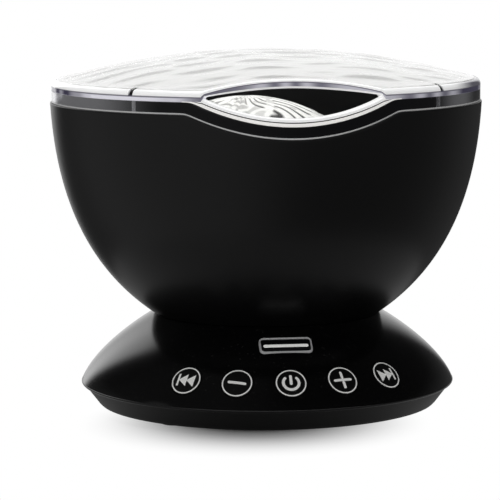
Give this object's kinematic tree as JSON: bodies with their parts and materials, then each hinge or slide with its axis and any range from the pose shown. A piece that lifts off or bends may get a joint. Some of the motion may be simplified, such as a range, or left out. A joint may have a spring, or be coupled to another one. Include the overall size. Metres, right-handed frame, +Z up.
{
  "type": "ocean wave projector",
  "caption": "Table-top ocean wave night light: black bowl on a domed foot, clear rippled lid with an eye-shaped opening, turning wave dome, front buttons and a speaker.",
  "frame": {"origin": "on the table under the middle of the bowl, at the level of the feet", "axes": "+Z up, -Y towards the front with the buttons and the opening in the lid, +X to the viewer's right from the front"},
  "size_m": [0.155, 0.1545, 0.1284],
  "materials": {
    "satin_black": "satin",
    "dark_plastic": "matte",
    "deck_black": "matte",
    "button_black": "satin",
    "foot_rubber": "matte",
    "screw_steel": "satin",
    "bezel_grey": "satin",
    "smoked_lens": "gloss",
    "epoxy_black": "satin",
    "switch_ivory": "satin",
    "board_green": "satin",
    "board_white": "satin",
    "socket_steel": "satin",
    "shaft_steel": "gloss",
    "basket_steel": "satin",
    "cone_paper": "matte",
    "magnet_iron": "satin",
    "white_plastic": "satin",
    "lamp_clear": "gloss",
    "rippled_clear": "gloss",
    "lid_clear": "gloss",
    "wire_sleeve": "satin"
  },
  "bodies": {
    "housing": {"base_plate": "dark_plastic", "rubber_feet": "foot_rubber", "base_screws": "screw_steel", "base_cover": "satin_black", "ir_bezel": "bezel_grey", "ir_window": "smoked_lens", "ir_receiver": "epoxy_black", "tact_switches": "epoxy_black", "key_boards": "board_green", "key_bracket": "dark_plastic", "bracket_screws": "screw_steel", "main_board": "board_green", "board_screws": "screw_steel", "board_components": "epoxy_black", "usb_inlet": "socket_steel", "audio_jack": "epoxy_black", "card_socket": "socket_steel", "speaker_basket": "basket_steel", "speaker_cone": "cone_paper", "speaker_magnet": "magnet_iron", "speaker_screws": "screw_steel", "bowl": "satin_black", "neck_screws": "screw_steel", "deck": "deck_black", "deck_screws": "screw_steel", "led_cup": "white_plastic", "led_board": "board_white", "leds": "lamp_clear", "cup_screws": "screw_steel", "gear_motor": "socket_steel", "motor_screws": "screw_steel", "lid": "lid_clear", "wire_loom": "wire_sleeve", "loom_plugs": "switch_ivory"},
    "rotor": {"rotor_ring": "white_plastic", "ripple_dome": "rippled_clear"},
    "pinion": {"drive_pinion": "white_plastic", "motor_shaft": "shaft_steel"},
    "previous_key": {"button_previous": "button_black", "plunger_previous": "switch_ivory"},
    "minus_key": {"button_minus": "button_black", "plunger_minus": "switch_ivory"},
    "power_key": {"button_power": "button_black", "plunger_power": "switch_ivory"},
    "plus_key": {"button_plus": "button_black", "plunger_plus": "switch_ivory"},
    "next_key": {"button_next": "button_black", "plunger_next": "switch_ivory"}
  },
  "joints": [
    {"name": "previous_press", "type": "slide", "parent": "housing", "child": "previous_key", "axis": [0.4213, 0.6153, -0.6662], "range_m": [0, 0.0006], "stiffness_N_per_m": 400, "springref_m": -0.0006},
    {"name": "minus_press", "type": "slide", "parent": "housing", "child": "minus_key", "axis": [0.2205, 0.7124, -0.6662], "range_m": [0, 0.0006], "stiffness_N_per_m": 400, "springref_m": -0.0006},
    {"name": "power_press", "type": "slide", "parent": "housing", "child": "power_key", "axis": [0, 0.7457, -0.6662], "range_m": [0, 0.0006], "stiffness_N_per_m": 400, "springref_m": -0.0006},
    {"name": "plus_press", "type": "slide", "parent": "housing", "child": "plus_key", "axis": [-0.2205, 0.7124, -0.6662], "range_m": [0, 0.0006], "stiffness_N_per_m": 400, "springref_m": -0.0006},
    {"name": "next_press", "type": "slide", "parent": "housing", "child": "next_key", "axis": [-0.4213, 0.6153, -0.6662], "range_m": [0, 0.0006], "stiffness_N_per_m": 400, "springref_m": -0.0006},
    {"name": "dome_spin", "type": "hinge", "parent": "housing", "child": "rotor", "pos_m": [0, 0, 0.0961], "axis": [0, 0, 1], "continuous": true},
    {"name": "pinion_spin", "type": "hinge", "parent": "housing", "child": "pinion", "pos_m": [0, 0.048, 0.0961], "axis": [0, 0, 1], "continuous": true}
  ],
  "couplings": [
    {"joint": "pinion_spin", "follows": "dome_spin", "ratio": -5}
  ]
}
